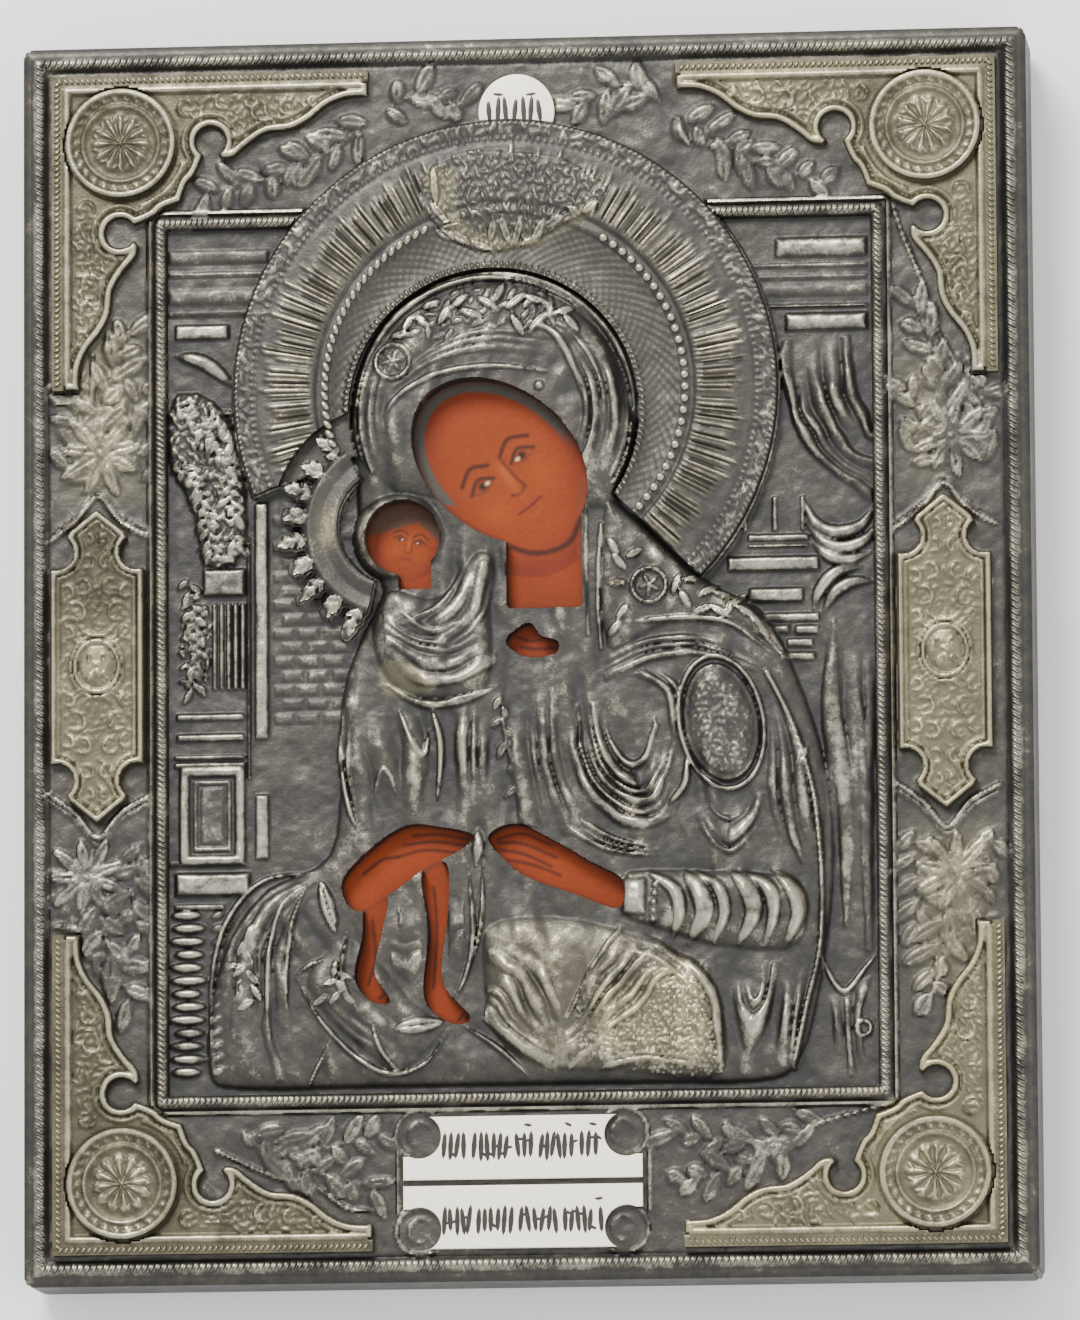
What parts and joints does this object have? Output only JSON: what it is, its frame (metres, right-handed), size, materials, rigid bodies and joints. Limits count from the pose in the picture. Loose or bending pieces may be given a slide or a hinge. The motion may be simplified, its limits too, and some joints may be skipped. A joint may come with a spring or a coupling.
{
  "type": "icon panel",
  "caption": "Upright devotional panel: a painted board in an embossed metal cover with two figures, raised halos, scrolled corner plates, round medallions and enamel title plates.",
  "frame": {"origin": "middle of the board's back face, on which the panel lies", "axes": "+Z out of the picture face, +Y to the picture's top, +X to the picture's right"},
  "size_m": [0.22, 0.272, 0.0302],
  "materials": {
    "painted_wood": "aged softwood board, egg-tempera flesh tones where the cover is open",
    "oxidised_silver": "embossed silvered metal, oxidised dark in the recesses and rubbed bright on the crests",
    "worn_gilt": "worn pale gilding over silvered metal",
    "white_enamel": "smooth cream enamel with dark painted strokes"
  },
  "bodies": {
    "root": {"board": "painted_wood", "cover": "oxidised_silver", "mother_halo": "oxidised_silver", "child_halo": "oxidised_silver", "corner_top_left": "worn_gilt", "corner_top_right": "worn_gilt", "corner_bottom_left": "worn_gilt", "corner_bottom_right": "worn_gilt", "medallion_top_left": "worn_gilt", "medallion_top_right": "worn_gilt", "medallion_bottom_left": "worn_gilt", "medallion_bottom_right": "worn_gilt", "cartouche_left": "worn_gilt", "cartouche_right": "worn_gilt", "top_disc": "white_enamel", "upper_title": "white_enamel", "lower_title": "white_enamel"}
  },
  "joints": []
}
